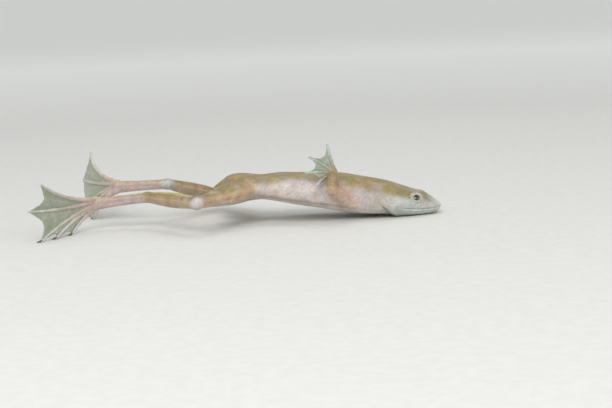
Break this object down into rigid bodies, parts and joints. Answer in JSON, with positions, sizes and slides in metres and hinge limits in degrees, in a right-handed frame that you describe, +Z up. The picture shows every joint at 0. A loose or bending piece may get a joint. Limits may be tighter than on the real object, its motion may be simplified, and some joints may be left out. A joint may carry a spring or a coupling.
{
  "type": "african clawed frog",
  "caption": "Still life-size model of a pale african clawed frog lying on its throat, one hand raised, hind legs trailing with webbed, clawed feet spread.",
  "frame": {"origin": "on the floor, under the middle of the box round the frog", "axes": "+X towards the snout, +Y towards the frog's left side, +Z up"},
  "size_m": [0.1202, 0.063, 0.0235],
  "materials": {
    "skin": "moist pale skin, tan along the back, pinkish white below",
    "limb_skin": "moist pink skin over muscle, whitish at knee and heel",
    "web_skin": "thin translucent grey web with pinkish digits",
    "eye": "wet, dark maroon pupil, orange brown and pale rim",
    "claw": "dark horn"
  },
  "bodies": {
    "root": {"head": "skin", "torso": "skin", "eye_right": "eye", "eye_left": "eye", "upper_arm_right": "limb_skin", "forearm_right": "limb_skin", "hand_right": "web_skin", "thigh_right": "limb_skin", "shank_right": "limb_skin", "tarsus_right": "limb_skin", "foot_right": "web_skin", "claw_right_1": "claw", "claw_right_2": "claw", "claw_right_3": "claw", "upper_arm_left": "limb_skin", "forearm_left": "limb_skin", "hand_left": "web_skin", "thigh_left": "limb_skin", "shank_left": "limb_skin", "tarsus_left": "limb_skin", "foot_left": "web_skin", "claw_left_1": "claw", "claw_left_2": "claw", "claw_left_3": "claw"}
  },
  "joints": []
}
